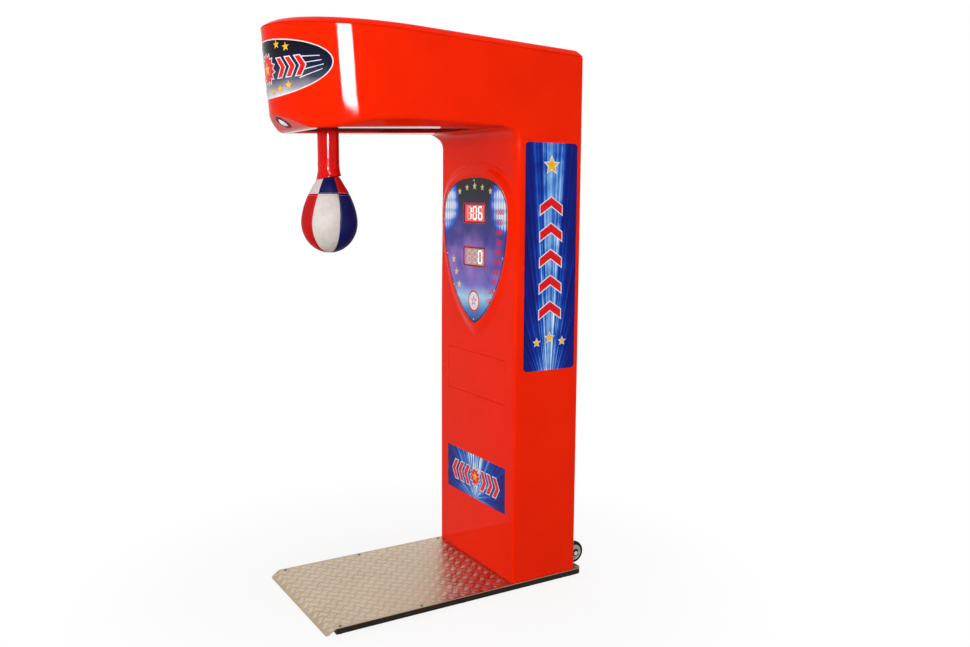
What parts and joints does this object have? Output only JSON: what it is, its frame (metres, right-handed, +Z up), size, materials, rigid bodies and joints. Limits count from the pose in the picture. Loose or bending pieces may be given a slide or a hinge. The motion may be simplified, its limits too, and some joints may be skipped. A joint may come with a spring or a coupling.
{
  "type": "boxing arcade machine",
  "caption": "Free-standing boxing arcade machine: a pear-shaped ball on a swinging arm hangs from a cantilever head on a column with a score display and a tread plate base.",
  "frame": {"origin": "middle of the floor area under the machine's bounding box", "axes": "+Z up, +Y towards the rear, +X to the right as the player sees the machine"},
  "size_m": [0.63, 1.3002, 2.2207],
  "materials": {
    "body_paint": "gelcoat and clear lacquer on glass-fibre laminate, high gloss",
    "lid_paint": "the same red, high gloss",
    "cover_paint": "the same red, high gloss",
    "door_paint": "the same red, high gloss",
    "floor_panel_paint": "the same red, satin",
    "tread_aluminium": "five-bar tread pattern, mill finish",
    "frame_steel": "black powder coat",
    "mast_steel": "black powder coat",
    "bracket_steel": "black powder coat",
    "zinc_steel": "bright zinc plate",
    "shaft_steel": "ground steel",
    "plate_screw": "black oxide",
    "black_rubber": "matt",
    "stop_rubber": "matt",
    "wheel_tyre": "solid rubber tread",
    "wheel_hub": "moulded grey nylon",
    "black_plastic": "fine grain",
    "spot_housing": "fine grain",
    "spot_lens": "frosted",
    "display_acrylic": "printed acrylic, gloss",
    "score_lens": "red filter over seven-segment digits",
    "circuit_board": "solder mask",
    "decal_vinyl": "printed vinyl, gloss",
    "sign_vinyl": "printed vinyl, gloss",
    "power_case": "folded sheet",
    "coil_tape": "yellow winding tape in a steel yoke",
    "arm_steel": "black powder coat",
    "ball_leather": "sewn gloss vinyl panels in red, white and blue",
    "core_rubber": "moulded rubber",
    "sleeve_vinyl": "gloss vinyl",
    "rocker_red": "moulded"
  },
  "bodies": {
    "cabinet": {"floor_pads": "black_rubber", "base_frame": "frame_steel", "tread_plate": "tread_aluminium", "tread_plate_screws": "plate_screw", "mast_frame": "mast_steel", "mast_bolts": "zinc_steel", "body_shell": "body_paint", "head_lid": "lid_paint", "lid_screws": "zinc_steel", "head_floor_panel": "floor_panel_paint", "well_trim": "black_rubber", "display_panel": "display_acrylic", "display_screws": "zinc_steel", "score_display_upper": "score_lens", "score_display_lower": "score_lens", "display_board": "circuit_board", "coin_cover": "cover_paint", "front_decal": "decal_vinyl", "side_decal_right": "decal_vinyl", "side_decal_left": "decal_vinyl", "head_sign": "sign_vinyl", "spotlight_housing": "spot_housing", "spotlight_lens": "spot_lens", "speaker": "black_plastic", "pivot_plates": "bracket_steel", "pivot_bearings": "zinc_steel", "stop_rubbers": "stop_rubber", "optical_sensor": "black_plastic", "latch_bracket": "bracket_steel", "solenoid_coil": "coil_tape", "hinge_frame_leaves": "zinc_steel", "hinge_pins": "zinc_steel", "power_inlet": "black_plastic", "power_supply": "power_case", "main_board": "circuit_board", "wiring_loom": "black_plastic", "wheel_brackets": "bracket_steel", "wheel_axles": "zinc_steel"},
    "arm": {"pivot_shaft": "shaft_steel", "swing_arm": "arm_steel", "sensor_disc": "zinc_steel", "ball": "ball_leather", "ball_core": "core_rubber", "neck_sleeve": "sleeve_vinyl"},
    "latch": {"latch_hook": "zinc_steel"},
    "plunger": {"solenoid_plunger": "shaft_steel"},
    "door": {"service_door": "door_paint", "hinge_door_leaves": "zinc_steel", "door_lock_barrel": "zinc_steel"},
    "lock": {"door_lock_cam": "zinc_steel"},
    "rocker": {"rocker_switch": "rocker_red"},
    "wheel_right": {"wheel_tyre_right": "wheel_tyre", "wheel_hub_right": "wheel_hub"},
    "wheel_left": {"wheel_tyre_left": "wheel_tyre", "wheel_hub_left": "wheel_hub"}
  },
  "joints": [
    {"name": "arm_swing", "type": "hinge", "parent": "cabinet", "child": "arm", "pos_m": [0, -0.411, 1.93], "axis": [1, 0, 0], "range_deg": [-10, 80]},
    {"name": "latch_turn", "type": "hinge", "parent": "cabinet", "child": "latch", "pos_m": [0.055, -0.32, 2.046], "axis": [1, 0, 0], "range_deg": [0, 12], "stiffness_Nm_per_rad": 0.3, "springref_deg": -17.19},
    {"name": "plunger_slide", "type": "slide", "parent": "cabinet", "child": "plunger", "axis": [0, 0, 1], "range_m": [0, 0.0074]},
    {"name": "door_swing", "type": "hinge", "parent": "cabinet", "child": "door", "pos_m": [-0.2, 0.556, 0.84], "axis": [0, 0, 1], "range_deg": [0, 110]},
    {"name": "lock_turn", "type": "hinge", "parent": "door", "child": "lock", "pos_m": [0.178, 0.55, 0.84], "axis": [0, -1, 0], "range_deg": [0, 90]},
    {"name": "rocker_tilt", "type": "hinge", "parent": "cabinet", "child": "rocker", "pos_m": [0.11, 0.547, 0.11], "axis": [1, 0, 0], "range_deg": [-14, 0]},
    {"name": "wheel_right_spin", "type": "hinge", "parent": "cabinet", "child": "wheel_right", "pos_m": [0.225, 0.602, 0.064], "axis": [1, 0, 0], "continuous": true},
    {"name": "wheel_left_spin", "type": "hinge", "parent": "cabinet", "child": "wheel_left", "pos_m": [-0.225, 0.602, 0.064], "axis": [1, 0, 0], "continuous": true}
  ],
  "couplings": [
    {"joint": "plunger_slide", "follows": "latch_turn", "m_per_rad": 0.035}
  ]
}
